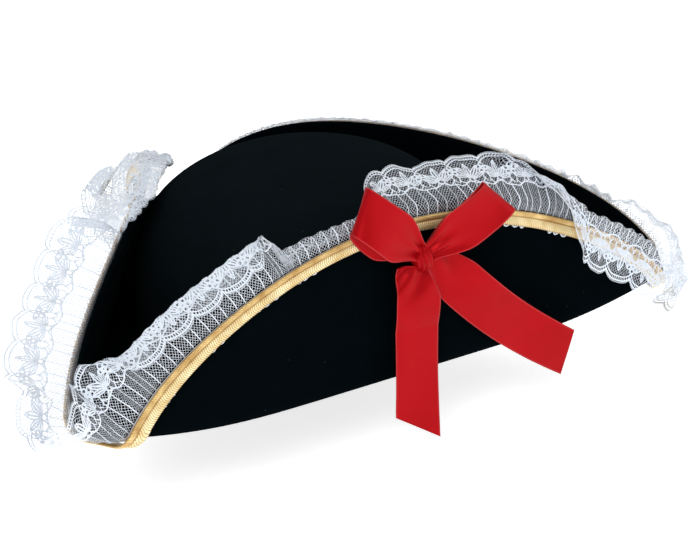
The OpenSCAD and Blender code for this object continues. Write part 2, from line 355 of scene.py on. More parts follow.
def felt_finish(name, deep, light):
    """Wool felt: a matted surface of fine fibres with a few pale specks of lint."""
    felt = Finish(name, {"Roughness": 0.95, "Specular IOR Level": 0.0, "Sheen Weight": 0.005,
                         "Sheen Roughness": 0.5, "Sheen Tint": (0.75, 0.85, 0.95, 1)})
    where = felt.place()
    clouds = felt.noise(where, 45, 4)
    fibres = felt.noise(where, 1500, 6, 0.75)
    pile = felt.add("ShaderNodeTexVoronoi", {"feature": "F1"}, {"Vector": where, "Scale": 700})
    specks = felt.add("ShaderNodeTexVoronoi", {"feature": "F1"}, {"Vector": where, "Scale": 160})
    lint = (specks < 0.045) * (felt.noise(where, 60, 1) > 0.56)
    shade = clouds * 0.45 + fibres * 0.55
    colour = felt.blend(lint * 0.12, felt.blend(shade, deep, light), (0.25, 0.27, 0.28, 1))
    felt.feed(felt.shader, {"Base Color": colour})
    felt.relief(fibres * 0.7 + pile * 0.3, 0.00045, 0.8)
    return felt


def spread(crowd, width, count):
    """Directions round the hat that crowd together near each corner, where the felt turns fast."""
    steps = np.linspace(0, 360, 3601)
    density = 1 + sum(crowd * np.exp(-(((steps - corner + 180) % 360 - 180) / width) ** 2)
                      for corner in (back_corner, left_corner, right_corner))
    total = np.concatenate([[0], np.cumsum((density[1:] + density[:-1]) / 2)])
    return np.interp(np.arange(count) * total[-1] / count, total, steps)


brim_turns, brim_rows, edge_rows, edge_least = 460, 74, 5, 0.02
turns = spread(crowd=3, width=8, count=brim_turns)[:, None]
inner = head_opening(turns)
rounding = np.linspace(0, math.pi / 2, edge_rows + 1)[1:]
edge_start = brim_radius - felt_thick / 2
radius = np.concatenate([inner + (edge_start - inner) * np.linspace(0, 1, brim_rows),
                         brim_radius - felt_thick / 2 * (1 - np.sin(rounding)) + 0 * turns], 1)
depth = np.concatenate([np.ones(brim_rows), np.cos(rounding)])
depth = felt_thick / 2 * np.maximum(depth, edge_least)[None, :, None]
middle, face = cocked(radius, turns), felt_frame(radius, turns)[1]
brim_skin = np.concatenate([middle + face * depth, (middle - face * depth)[:, ::-1]], 1)
brim = grid_piece("brim_felt", brim_skin, ring=True, loop=True, strips=3)
# The brim's felt colours are darker than the crown's: painted shade for flaps that face away from the light
# above.
brim_felt = felt_finish("brim_felt", (0.0003, 0.0011, 0.0016, 1), (0.0018, 0.0040, 0.0052, 1))
brim_felt.put_on(brim)
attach(brim, "hat")
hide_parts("brim")

# ---- Crown ----
# A dome of the same felt, steamed over a block without a seam, and sewn to the brim
# round the head opening. Its foot turns out a little where it meets the brim.
crown_turns, crown_rows, crowding = 240, 60, 1.35
foot_reach, foot_height = 0.0022, 0.005
rim = np.linspace(0, 360, crown_turns, endpoint=False)[:, None]
climb = math.pi / 2 * np.linspace(0, 1, crown_rows)[None, :] ** crowding


def dome(half_width, half_length, foot, top, flare):
    """Rings of a squared-off dome, from its foot to its top."""
    share, height = np.cos(climb), np.sin(climb) ** (2 / crown_round)
    z = foot + (top - foot) * height
    turned_out = flare * np.clip(1 - (z - foot) / foot_height, 0, 1) ** 2
    return np.stack([(half_width * share + turned_out) * cosd(rim),
                     (half_length * share + turned_out) * sind(rim), z + 0 * rim], -1)


outside = dome(crown_high.x, crown_high.y, crown_low.z, crown_high.z, foot_reach)
lining = dome(crown_high.x - felt_thick, crown_high.y - felt_thick, crown_low.z,
              crown_high.z - felt_thick, 0)
crown = grid_piece("crown_felt", np.concatenate([lining[:, ::-1], outside], 1), ring=True, strips=2)
# The crown's felt colours are lighter than the brim's: painted light falling on its top from above.
crown_felt = felt_finish("crown_felt", (0.0016, 0.0034, 0.0042, 1), (0.0062, 0.0105, 0.0122, 1))
crown_felt.put_on(crown)
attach(crown, "hat")
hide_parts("crown")

# ---- Sweatband ----
# A band of black twill that stands inside the foot of the crown, held by one row of
# stitches. A blank woven label is sewn over it at the back.
band_height, band_thick, band_gap, ease = 0.026, 0.0008, 0.0004, 0.0002
band_turns, band_rows, ripple_depth, ripple_count = 240, 16, 0.00012, 7
cloth_share = 0.45  # of a cloth's thickness, on either side of its middle


def inside_wall(a, z, depth):
    """A point inside the crown, at a depth from its felt."""
    height = np.clip((z - felt_thick / 2) / (crown_height - felt_thick), 0, 1)
    share = np.sqrt(1 - height ** crown_round)
    return np.stack([((crown_high.x - felt_thick) * share - depth) * cosd(a),
                     ((crown_high.y - felt_thick) * share - depth) * sind(a), z + 0 * a], -1)


def mark(piece, along, across):
    """Keeps each point's place on the flat cloth, in metres, for the weave."""
    place = np.stack(np.broadcast_arrays(along, across, 0 * along), -1)
    kept = piece.data.attributes.new("cloth", "FLOAT_VECTOR", "POINT")
    kept.data.foreach_set("vector", place.ravel())


rim = np.linspace(0, 360, band_turns, endpoint=False)[:, None]
climb = np.linspace(0, band_height, band_rows)[None, :]
ripple = ripple_depth * (1 + np.sin(np.radians(ripple_count * rim) + 260 * climb))
band_middle = inside_wall(rim, climb - felt_thick / 2, band_gap + band_thick / 2 + ripple)
band = grid_piece("sweatband_twill", slab(band_middle, band_thick * cloth_share),
                  ring=True, loop=True, strips=2)
rise_both = np.concatenate([climb, climb[:, ::-1]], 1)
mark(band, np.radians(rim) * crown_high.x + 0 * rise_both, rise_both + 0 * rim)
twill = Finish("sweatband_twill", {"Roughness": 0.75, "Specular IOR Level": 0.3, "Sheen Weight": 0.15})
cloth = twill.cloth()
slope = twill.add("ShaderNodeTexWave", {"bands_direction": "DIAGONAL"},
                  {"Vector": cloth, "Scale": 330, "Distortion": 0.6, "Detail": 1})
weave = slope * 0.6 + twill.noise(cloth, 900) * 0.4
twill.feed(twill.shader, {"Base Color": twill.blend(weave, (0.004, 0.0045, 0.005, 1),
                                                    (0.02, 0.021, 0.023, 1))})
twill.relief(slope, 0.00025, 0.7)
twill.put_on(band)
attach(band, "hat")
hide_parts("sweatband")


def beads(middles, ways, outs, radius, rings=9, sides=8, plump=0.35):
    """Short rounded thread stitches, each about a middle, along a way, arched towards out."""
    t = np.linspace(-1, 1, rings)[None, :, None, None]
    turn = np.linspace(0, 2 * math.pi, sides, endpoint=False)[None, None, :, None]
    third = np.cross(ways, outs)[:, None, None, :]
    outs, middles, ways = outs[:, None, None, :], middles[:, None, None, :], ways[:, None, None, :]
    length = np.linalg.norm(ways, axis=-1, keepdims=True)
    girth = radius * np.maximum(1 - t ** 4, 0) ** 0.5
    return (middles + ways * t / 2 + outs * plump * radius * (1 - t ** 2)
            + girth * (outs * np.cos(turn) + third / length * np.sin(turn)))


def many_piece(name, points, loop):
    """One mesh of many like strands; loop closes each strand's section."""
    count, rings, sides = points.shape[:3]
    faces, corners = grid_faces(rings, sides, False, loop)
    every = (faces[None] + np.arange(count)[:, None, None] * rings * sides).reshape(-1, 4)
    piece = make_piece(name, points, every)
    across = np.ceil(np.sqrt(count))
    own = np.arange(count)[:, None, None]
    u = (own % across + 0.05 + 0.9 * corners[None, ..., 0] / rings) / across
    v = (own // across + 0.05 + 0.9 * corners[None, ..., 1] / sides) / across
    piece.data.uv_layers.new(name="OFBake").data.foreach_set("uv", np.stack([u, v], -1).ravel())
    return piece


def thread_finish(name, dark, pale, rough):
    """Twisted sewing thread."""
    thread = Finish(name, {"Roughness": rough, "Specular IOR Level": 0.4, "Sheen Weight": 0.2})
    where = thread.place()
    strand = thread.noise(where, 2600, 2)
    thread.feed(thread.shader, {"Base Color": thread.blend(strand, dark, pale)})
    thread.relief(strand, 0.0001, 0.6)
    return thread


stitch_length, stitch_radius, stitch_count, stitch_z = 0.005, 0.00035, 60, 0.0035
drawn_in = 0.96  # each stitch is pulled a little shorter than its pitch
stitch_turns = (np.arange(stitch_count) + 0.5) * 360 / stitch_count
stitch_place = inside_wall(stitch_turns, stitch_z, band_gap + band_thick + stitch_radius + ease)
stitch_way = unit(inside_wall(stitch_turns + 1, stitch_z, 0) - inside_wall(stitch_turns - 1, stitch_z, 0))
inwards = -unit(stitch_place * np.array([1, 1, 0]))
sewn = many_piece("sweatband_stitches_thread", beads(
    stitch_place, stitch_way * stitch_length * drawn_in, inwards, stitch_radius * 0.9, plump=0.1), loop=True)
thread_finish("black_thread", (0.012, 0.013, 0.015, 1), (0.035, 0.037, 0.042, 1), 0.55).put_on(sewn)
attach(sewn, "hat")
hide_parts("sweatband_stitches")

label_half, label_low, label_high, label_thick, label_curl = 8, 0.008, 0.022, 0.0003, 0.00035
label_turns = np.linspace(90 + label_half, 90 - label_half, 34)[:, None]
label_rise = np.linspace(label_low, label_high, 18)[None, :]
label_share = (label_rise - label_low) / (label_high - label_low)
curl = label_curl * label_share ** 2 * (1 + np.cos(np.radians(40 * label_turns)))
label_middle = inside_wall(label_turns, label_rise, band_gap + band_thick + ease + label_thick / 2 + curl)
label = grid_piece("care_label_tape", slab(label_middle, label_thick * cloth_share), loop=True, caps=True)
label_along = (label_turns - 90) * math.radians(crown_high.y) + 0 * label_rise
label_across = label_rise + 0 * label_turns
mark(label, np.concatenate([label_along, label_along[:, ::-1]], 1),
     np.concatenate([label_across, label_across[:, ::-1]], 1))
tape = Finish("label_tape", {"Roughness": 0.6, "Specular IOR Level": 0.35, "Sheen Weight": 0.2})
cloth = tape.cloth()
ribs = tape.add("ShaderNodeTexWave", {"bands_direction": "Y"},
                {"Vector": cloth, "Scale": 420, "Distortion": 0.4})
tape.feed(tape.shader, {"Base Color": tape.blend(ribs * 0.5 + tape.noise(cloth, 800) * 0.5,
                                                 (0.62, 0.62, 0.6, 1), (0.8, 0.8, 0.78, 1))})
tape.relief(ribs, 0.0001, 0.6)
tape.put_on(label)
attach(label, "hat")
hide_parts("care_label")

# ---- Lace ----
# White nylon lace, 49.5 mm wide, with scallops along its free edge. Its plain edge is gathered
# and sewn under the braid, outside the felt. It leans in over the edge or falls outside it, and
# along the front flap it has been folded back on itself.
lace_low, lace_high, lace_thick = -0.012, 0.0375, 0.0006
trim_gap, corner_gap = 0.0006, 0.0009
lace_turns, lace_rows = 1500, 76
lace_step = (lace_high - lace_low) / (lace_rows - 1)
lace_across = lace_low + lace_step * np.arange(lace_rows)
flip_dir, flip_width = 249.7, 1.5
gather, free_share = 1.0, 0.64
# direction, lean at the edge, place of the fold, lean past the fold, softness of the fold,
# depth of the waves along the free edge; degrees and millimetres
lace_lay = np.array([
    [90, -120, 60, -120, 4, 3], [98, -130, 40, -146, 4, 2], [106, -50, 9, -146, 5, 1.5],
    [112, 60, 13, -140, 5, 1.5], [120, 96, 20, -124, 6, 1.5], [137, 98, 19, -112, 6, 1.5],
    [144, 88, 15, -99, 6, 1.5], [150, 84, 13, -98, 6, 1.5], [157, 86, 13, -98, 6, 1.5],
    [163, 82, 10, -97, 6, 2], [169, 30, 6, -96, 5, 2.5], [175, -86, 40, -90, 4, 3.5],
    [190, -84, 60, -84, 4, 3.5], [199, -70, 60, -70, 4, 3], [205, -26, 60, -26, 4, 2],
    [210, 18, 60, 18, 4, 1.5],
    [216, 48, 50, 48, 4, 1], [220, 46, 30, -60, 4, 0.6], [224, 40, 22, -136, 2.6, 0.3],
    [244, 40, 21, -138, 2.6, 0.3], [248.5, 42, 21, -132, 3, 0.3], [250, 50, 20, 60, 4, 0],
    [251.4, 52, 10, 172, 3, 0], [262, 56, 8, 174, 3, 0.1], [267, 64, 12, 150, 4, 0.5],
    [271, 72, 34, 76, 4, 1], [276, 74, 50, 74, 4, 1.5], [284, 68, 44, 60, 4, 1.5],
    [290, 60, 30, -50, 4, 1], [296, 46, 20, -110, 4, 0.6], [301, 18, 10, -140, 6, 0.5],
    [305, 4, 6, -158, 7, 0.8], [312, 2, 6, -162, 7, 1.2], [322, 0, 6, -160, 7, 1.2],
    [327, -20, 12, -150, 8, 1.5], [331, -60, 15, -165, 6, 1], [338, -104, 24, -146, 6, 2],
    [347, -128, 60, -128, 4, 4], [372, -150, 60, -150, 4, 3], [384, -164, 60, -164, 4, 2],
    [432, -164, 60, -164, 4, 2], [450, -120, 60, -120, 4, 3]])


def trim_clear(a):
    """Gap left under trim, wider at the corners."""
    return trim_gap + corner_gap * corner_share(a)


def lay_at(a):
    b = np.where(a < 90, a + 360, a)
    i = np.clip(np.searchsorted(lace_lay[:, 0], b, side="right") - 1, 0, len(lace_lay) - 2)
    k = smooth((b - lace_lay[i, 0]) / (lace_lay[i + 1, 0] - lace_lay[i, 0]))[..., None]
    return np.moveaxis(lace_lay[i, 1:] * (1 - k) + lace_lay[i + 1, 1:] * k, -1, 0)


lace_dirs = spread(crowd=2, width=8, count=lace_turns)
lean, fold, past, soft, wave = lay_at(lace_dirs)[:, :, None]
off = (felt_thick / 2 + trim_clear(lace_dirs) + lace_thick / 2)[:, None]
free = np.maximum(lace_across, 0)[None, :]
middle_free = np.maximum(lace_across - lace_step / 2, 0)[None, :]
# Where the fold flips over, the lace is bunched up and shows little of its width
flip = 1 - 0.9 * np.exp(-((lace_dirs[:, None] - flip_dir) / flip_width) ** 2) * (middle_free > fold / 1000)
turn_over = 0.007 - 0.0045 * smooth((-lean - 110) / 40)
folded = smooth((middle_free - fold / 1000) / (soft / 1000) + 0.5)
slant = lean * smooth(middle_free / turn_over) + (past - lean) * folded
pace = np.diff(free, axis=1, prepend=0) * flip
climbs, spreads = np.cumsum(pace * cosd(slant), 1), off - np.cumsum(pace * sind(slant), 1)
low_radius = brim_radius + np.minimum(lace_across, 0)[None, :] + 0 * lace_dirs[:, None]
low_dirs = lace_dirs[:, None] + 0 * low_radius
ups, faces_in = felt_frame(low_radius, low_dirs)
lace_grid = cocked(low_radius, low_dirs) + ups * climbs[..., None] - faces_in * spreads[..., None]
edge_row = int(round(-lace_low / lace_step))


def ring_length(row):
    return np.linalg.norm(np.roll(row, -1, 0) - row, axis=-1)


lace_run = np.maximum(gather * ring_length(lace_grid[:, edge_row]),
                      free_share * ring_length(lace_grid[:, -1]))
lace_flat = np.concatenate([[0], np.cumsum(lace_run)])
lace_length = lace_flat[-1]
lace_s = lace_flat[:-1][:, None]


def waves(s, length, drift, phase):
    """A wave along the lace whose length drifts, and which closes on itself."""
    turns = round(lace_length / length)
    angle = 2 * math.pi * s / lace_length
    return np.sin(turns * angle + drift * np.sin(round(turns / 5) * angle + phase) + phase)


def grid_out(points, ring):
    """Unit vectors square to a grid of points."""
    along = (np.roll(points, -1, 0) - np.roll(points, 1, 0)) if ring else np.gradient(points, axis=0)
    return unit(np.cross(along, np.gradient(points, axis=1)))


# Small pleats from the gathering, and broad waves that grow towards the free edge
share = free / lace_high
pleat = ((0.0005 + 0.0002 * wave) * waves(lace_s, 0.0085, 1.2, 0.4)
         * smooth(free / 0.004) * (1 - 0.6 * share))
broad = (wave / 1000 * (0.75 * waves(lace_s, 0.036, 1.3, 1.1) + 0.35 * waves(lace_s, 0.021, 1.1, 2.3))
         * share ** 1.3)
lace_grid = lace_grid + grid_out(lace_grid, True) * (pleat + broad)[..., None]
lace_out = grid_out(lace_grid, True)
lace_grid, lace_out = (np.concatenate([g, g[:1]]) for g in (lace_grid, lace_out))


def lace_at(s, v, lift):
    """Where a place on the flat lace lies round the hat, a height above its face."""
    i = np.clip(np.interp(s % lace_length, lace_flat, np.arange(lace_turns + 1)), 0, lace_turns - 1e-6)
    j = np.clip((v - lace_low) / lace_step, 0, lace_rows - 1 - 1e-6)
    i0, j0 = i.astype(int), j.astype(int)
    p, q = (i - i0)[..., None], (j - j0)[..., None]
    point = ((lace_grid[i0, j0] * (1 - q) + lace_grid[i0, j0 + 1] * q) * (1 - p)
             + (lace_grid[i0 + 1, j0] * (1 - q) + lace_grid[i0 + 1, j0 + 1] * q) * p)
    return point + lace_out[i0, j0] * np.asarray(lift)[..., None]


class Threads:
    """Threads of the lace, drawn on its flat pattern and laid on its gathered surface."""

    def __init__(self):
        self.points, self.faces, self.flat, self.count, self.area = [], [], [], 0, 0

    def lay(self, s, v, width, raised=0, keep=None):
        """Rows of threads. A raised thread has a ridge along its middle."""
        s, v = np.broadcast_arrays(s, v)
        ds, dv = np.gradient(s, axis=1), np.gradient(v, axis=1)
        length = np.hypot(ds, dv) + 1e-9
        width = np.broadcast_to(width, s.shape)
        side = width[..., None] / 2 * np.stack([-dv / length, ds / length], -1)
        sides = (-1, 0, 1) if raised else (-1, 1)
        flat = np.stack([np.stack([s, v], -1) + side * k for k in sides], 2)
        lift = np.broadcast_to([raised * (1 - abs(k)) for k in sides], flat.shape[:-1])
        rows, steps, wide = flat.shape[:3]
        number = np.arange(rows * steps * wide).reshape(rows, steps, wide) + self.count
        faces = np.stack([number[:, :-1, :-1], number[:, 1:, :-1],
                          number[:, 1:, 1:], number[:, :-1, 1:]], -1)
        areas = width[:, 1:] * np.hypot(np.diff(s, axis=1), np.diff(v, axis=1))
        if keep is not None:
            faces, areas = faces[keep], areas[keep]
        self.area += areas.sum()
        self.points.append(lace_at(flat[..., 0], flat[..., 1], lift).reshape(-1, 3))
        self.flat.append(flat.reshape(-1, 2))
        self.faces.append(faces.reshape(-1, 4))
        self.count += rows * steps * wide

    def piece(self, name, strips=24):
        points, flat, faces = (np.concatenate(g) for g in (self.points, self.flat, self.faces))
        used, number = np.unique(faces, return_inverse=True)
        faces, points, flat = number.reshape(-1, 4), points[used], flat[used]
        made = make_piece(name, points, faces)
        corner = flat[faces]
        length = lace_length * 1.01 / strips
        strip = (corner[:, :1, 0] // length).clip(0, strips - 1)
        u = 0.01 + 0.98 * (corner[..., 0] - strip * length) / length
        v = (strip + 0.03 + 0.94 * (corner[..., 1] - lace_low) / (lace_high - lace_low)) / strips
        made.data.uv_layers.new(name="OFBake").data.foreach_set("uv", np.stack([u, v], -1).ravel())
        return made


scallops = round(lace_length / 0.0172)
pitch = lace_length / scallops
scallop_base, scallop_depth, edge_band = 0.031, 0.0052, 0.0027
chance = np.random.default_rng(7)


def outline(s):
    """Free edge of the lace: a row of round scallops."""
    x = (s / pitch % 1 - 0.5) * 2
    return scallop_base + scallop_depth * np.sqrt(1 - 0.95 * x ** 2)


# The ground is a net of zigzag rows that touch at their points
net_low, net_step, net_half, net_stray = -0.0014, 0.00105, 0.00082, 0.00013
net_thread, net_bunch = 0.00026, 0.00034
net_levels = int((lace_high - net_low) / net_step)
net_count = 2 * round(lace_length / net_half / 2)
knots = np.arange(net_count + 1)
level = np.arange(net_levels)[:, None] + (knots[None, :] + np.arange(net_levels)[:, None]) % 2
stray_s = chance.normal(0, net_stray, (net_levels + 1, net_count))
stray_v = chance.normal(0, net_stray, (net_levels + 1, net_count))
net_s = knots * lace_length / net_count + stray_s[level, knots % net_count]
net_v = net_low + level * net_step + stray_v[level, knots % net_count]
inside = net_v < outline(net_s) - edge_band
net = Threads()
# The lace lies open along the front flap. Elsewhere its net is bunched up, so its threads look wider
net_dirs = np.interp(net_s % lace_length, lace_flat, np.append(lace_dirs, 360))
bunched = 1 - smooth((net_dirs - 200) / 12) * (1 - smooth((net_dirs - 328) / 8))
net.lay(net_s, net_v, net_thread + net_bunch * bunched, keep=inside[:, :-1] & inside[:, 1:])
# Ladder threads cross the net from the braid towards the flowers
rung_pitch, rung_low, rung_high, rung_steps = 0.0057, -0.002, 0.0155, 15
rungs = np.arange(round(lace_length / rung_pitch))[:, None]
rung_s = rungs * lace_length / len(rungs) + 0.0004 * np.sin(rungs * 2.4)
net.lay(rung_s + 0.0003 * np.sin(np.linspace(0, 5, rung_steps))[None, :],
        np.linspace(rung_low, rung_high, rung_steps)[None, :], 0.0005)
# The gathered edge is a plain tape under the braid, with small loops below it
tape_s = np.linspace(0, lace_length, 1800)[None, :]
tape_middle, tape_width, loop_pitch, loop_low = -0.0055, 0.0072, 0.006, -0.0088
net.lay(tape_s, tape_middle + 0 * tape_s, tape_width)
loop_count = round(lace_length / loop_pitch)
loops_s = np.linspace(0, lace_length, 6 * loop_count + 1)[None, :]
shown = smooth(0.5 + 1.6 * waves(loops_s, 0.045, 1.5, 0.7))
arcs = np.abs(np.sin(math.pi * loop_count * loops_s / lace_length))
for reach, wide in ((0.0017, 0.0007), (0.0009, 0.0004)):
    net.lay(loops_s, loop_low - shown * reach * arcs, wide)

flowers = Threads()
centres = (np.arange(scallops) + 0.5)[:, None] * pitch
round_edge = np.linspace(-0.5, 0.5, 23)[None, :] * pitch
for inset, wide in ((0.0004, 0.0008), (edge_band, 0.0007)):
    flowers.lay(centres + round_edge, outline(centres + round_edge) - inset, wide, 0.00025)
bar_count, picot_steps = 15, 31
bars = np.linspace(-0.47, 0.47, bar_count)[None, :, None] * pitch
bar_s = (centres[..., None] + bars + np.zeros(2)).reshape(-1, 2)
bar_v = outline(bar_s) - np.array([0, edge_band])
splay = np.array([0.03, -0.05])
flowers.lay(bar_s + (bar_s - np.repeat(centres, bar_count, 0)) * splay, bar_v, 0.00045)
picots = centres + np.linspace(-0.5, 0.5, picot_steps)[None, :] * pitch
flowers.lay(picots, outline(picots) + 0.0003 + 0.0005 * (np.arange(picot_steps) % 2), 0.00035)


def motif(x, v, width, raised=0.00025, between=False):
    """Repeats a line drawn in millimetres on every scallop, or between each two of them."""
    middle = centres + (pitch / 2 if between else 0)
    flowers.lay(middle + np.asarray(x)[None, :] / 1000, 0 * middle + np.asarray(v)[None, :] / 1000,
                width, raised)


# A spray of five leaves on each scallop, a flower of five petals between each two, and the
# stems and the wavy line that join them
leaf = np.sin(np.linspace(0, math.pi, 9)) ** 0.8
stem = np.linspace(0, 1, 9)
spray_v, spray_start, vein_start = 18.5, 1.5, 2.5
for aim, reach, wide, root in ((-64, 8.2, 1.2, 0.3), (-33, 9.4, 1.35, 0.2), (0, 10.6, 1.5, 0),
                               (33, 9.4, 1.35, -0.2), (64, 8.2, 1.2, -0.3)):
    ahead = np.array([math.sin(math.radians(aim)), math.cos(math.radians(aim))])
    aside = np.array([ahead[1], -ahead[0]])
    base = np.array([root, spray_v])
    for side in (-1, 1):
        path = base + (spray_start + reach * stem[:, None]) * ahead + side * wide * leaf[:, None] * aside
        motif(path[:, 0], path[:, 1], 0.0007)
    vein = base + (vein_start + (reach - vein_start) * stem[::2, None]) * ahead
    motif(vein[:, 0], vein[:, 1], 0.0009)
circle = np.radians(np.linspace(0, 360, 11))
petals, petal_reach, petal_radius, flower_v = 5, 2.5, 1.25, 25.5
for petal in range(petals):
    out = math.radians(360 / petals * petal + 18)
    motif(petal_reach * math.cos(out) + petal_radius * np.cos(circle),
          flower_v + petal_reach * math.sin(out) + petal_radius * np.sin(circle), 0.0008, between=True)
motif(0.8 * np.cos(circle), flower_v + 0.8 * np.sin(circle), 0.0009, between=True)
motif(1.6 * np.cos(circle), 18.2 + 1.6 * np.sin(circle), 0.0008)
for side in (-1, 1):
    motif(side * (1.6 + 5.6 * stem), 18 - 2.6 * np.sin(stem * 3.3), 0.0007)
    motif(side * (0.4 + 1.8 * np.sin(stem * 3.1)), 15.6 + 7 * stem, 0.0006, between=True)
base_line = np.linspace(-0.5, 0.5, 15) * pitch * 1000
motif(base_line, 15 + 1.3 * np.cos(base_line / pitch / 1000 * 2 * math.pi), 0.0008)

lace_net = net.piece("lace_net")
lace_flowers = flowers.piece("lace_flowers")
nylon = Finish("white_lace", {"Roughness": 0.6, "Specular IOR Level": 0.35, "Sheen Weight": 0.3,
                              "Sheen Roughness": 0.4})
where = nylon.place()
strand = nylon.noise(where, 1900, 3)
nylon.feed(nylon.shader, {"Base Color": nylon.blend(strand * 0.7 + nylon.noise(where, 60) * 0.3,
                                                    (0.76, 0.82, 0.92, 1), (0.88, 0.94, 1.0, 1))})
nylon.relief(strand, 0.00012, 0.5)
nylon.put_on(lace_net, lace_flowers)
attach(lace_net, "hat")
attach(lace_flowers, "hat")
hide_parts("lace_trim")

# ---- Gold braid ----
# Metallic braid, 8 mm wide, sewn over the lace's gathered edge: a thin rib of twisted yarn
# towards the felt's edge and a broad herringbone rib below it, with a groove between them.
braid_inset, braid_width = 0.0015, 0.008
braid_turns, braid_rim, rib_base = 900, 0.0001, 0.00045
edge_dirs = spread(crowd=2, width=8, count=2400)
edge_points = cocked(brim_radius - braid_inset - braid_width / 2 + 0 * edge_dirs, edge_dirs)
edge_run = np.concatenate([[0], np.cumsum(ring_length(edge_points))])
braid_length = edge_run[-1]
# upper rib and lower rib: middle and half width from the braid's upper edge, and height
ribs_of_braid = ((0.0015, 0.0012, 0.00062), (0.0054, 0.0024, 0.00072))


def braid_at(s, u, height):
    """A place on the braid: along it, down from its upper edge, and out from its back."""
    s, u, height = np.broadcast_arrays(s, u, height)
    a = np.interp(s % braid_length, edge_run, np.append(edge_dirs, 360))
    r = brim_radius - braid_inset - u
    near = felt_thick / 2 + 2 * trim_clear(a) + lace_thick
    return cocked(r, a) - felt_frame(r, a)[1] * (near + height)[..., None]


def rib_height(u):
    """Height of the braid's face over its back."""
    return rib_base + sum(height * np.sqrt(np.clip(1 - ((u - middle) / (half * 1.05)) ** 2, 0, 1))
                          for middle, half, height in ribs_of_braid)


profile = np.linspace(braid_rim, braid_width - braid_rim, 19)
walls = np.concatenate([profile, [profile[-1], profile[0]]])[None, :]
heights = np.concatenate([rib_height(profile), [0, 0]])[None, :]
braid_s = (np.arange(braid_turns) * braid_length / braid_turns)[:, None]
braid = grid_piece("braid_body", braid_at(braid_s, walls, heights), ring=True, loop=True, strips=6)
yarn_sunk = 0.0001


def yarns(name, rib, spacing, slope, herringbone, wide, raised):
    """A row of slanting yarns laid over one rib of the braid."""
    middle, half, _ = ribs_of_braid[rib]
    count = round(braid_length / spacing)
    q = np.linspace(-1, 1, 9)[None, :, None]
    side = np.linspace(-1, 1, 4)[None, None, :]
    s = (np.arange(count) * braid_length / count)[:, None, None]
    lean_s = slope * half * (np.abs(q) if herringbone else q)
    u = middle + half * q
    arch = raised * np.sqrt(np.clip(1 - side ** 2 * 0.98, 0, 1)) * (1 - 0.8 * q ** 6)
    points = braid_at(s + lean_s + side * wide / 2, u + 0 * side, rib_height(u) - yarn_sunk + arch)
    return many_piece(name, points, loop=False)


upper_yarn = yarns("braid_upper_yarn", 0, 0.0013, 0.9, False, 0.0012, 0.0004)
lower_yarn = yarns("braid_lower_yarn", 1, 0.0012, 0.4, True, 0.0011, 0.0003)


def gold_finish(name, shade, mid, painted_glint):
    """Gilt film yarn: a gold tone with painted glints on fine facets and painted brown shade in patches."""
    gilt = Finish(name, {"Metallic": 0.48})
    where = gilt.place()
    glint_facets = gilt.noise(where, 1300, 3, 0.7)
    shade_patches = gilt.noise(where, 120, 3)
    # Painted glints: on the facets the middle gold turns towards the glint colour.
    tone = gilt.blend(glint_facets, mid, painted_glint)
    # Painted shade: in patches the colour turns to the shade colour.
    gilt.feed(gilt.shader, {"Base Color": gilt.blend((shade_patches - 0.3) * 2.6, shade, tone),
                            "Roughness": glint_facets * 0.3 + 0.25})
    gilt.relief(glint_facets, 0.00025, 0.8)
    return gilt


# Each gold: a painted shade colour, a middle tone and a painted glint colour.
gold_finish("gold_core", (0.30, 0.16, 0.04, 1), (0.45, 0.27, 0.08, 1), (0.62, 0.42, 0.16, 1)).put_on(braid)
gold_finish("gold_upper", (0.5, 0.27, 0.07, 1), (0.82, 0.56, 0.2, 1), (1.0, 0.84, 0.45, 1)).put_on(upper_yarn)
gold_finish("gold_lower", (0.74, 0.52, 0.2, 1), (0.95, 0.8, 0.43, 1), (1.0, 0.95, 0.72, 1)).put_on(lower_yarn)
for piece in (braid, upper_yarn, lower_yarn):
    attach(piece, "hat")
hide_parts("gold_braid")

# ---- Bow ----
# Two loops of red satin ribbon, 25 mm wide, drawn in by a knot of the same ribbon and sewn
# through the front flap below its edge. The weave floats lengthwise, so it shines across.
ribbon_half, ribbon_width, pinched_width = 0.00016, 0.025, 0.0088
inside_knot, pleat_depth, loop_share = 0.003, 0.0011, 2.15
knot_low, knot_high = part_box("bow_knot")
knot_middle = (knot_low + knot_high) / 2
bow_x, bow_z = knot_middle.x, knot_middle.z
loop_behind = 0.004
loop_y = knot_low.y + loop_behind


def satin_finish():
    satin = Finish("red_satin", {"Specular IOR Level": 0.1, "Metallic": 0.4})
    cloth = satin.cloth()
    floats = satin.add("ShaderNodeMapping", {}, {"Vector": cloth, "Scale": (500, 130, 1)})
    grain = satin.noise(floats, 1, 2)
    clouds = satin.noise(satin.place(), 55, 3)
    parts = satin.add("ShaderNodeSeparateXYZ", {}, {"Vector": cloth}, 1)
    rim_of = satin.add("ShaderNodeMath", {"operation": "ABSOLUTE"}, {0: parts - 0.5})
    selvedge = rim_of > 0.475
    body = satin.blend(grain * 0.45 + clouds * 0.55, (0.29, 0.001, 0.0034, 1), (0.5, 0.0032, 0.0078, 1))
    satin.feed(satin.shader, {"Base Color": satin.blend(selvedge * 0.45, body, (0.55, 0.06, 0.06, 1)),
                              "Roughness": grain * 0.12 + 0.32})
    satin.relief(grain, 0.00007, 0.6)
    return satin


red_satin = satin_finish()


def ribbon_piece(name, points, along, across, replaced):
    """A ribbon from the grid of its middle surface."""
    made = grid_piece(name, slab(points, ribbon_half), loop=True, caps=True)
    along, across = np.broadcast_arrays(along, across)
    mark(made, np.concatenate([along, along[:, ::-1]], 1), np.concatenate([across, across[:, ::-1]], 1))
    red_satin.put_on(made)
    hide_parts(replaced)
    return made


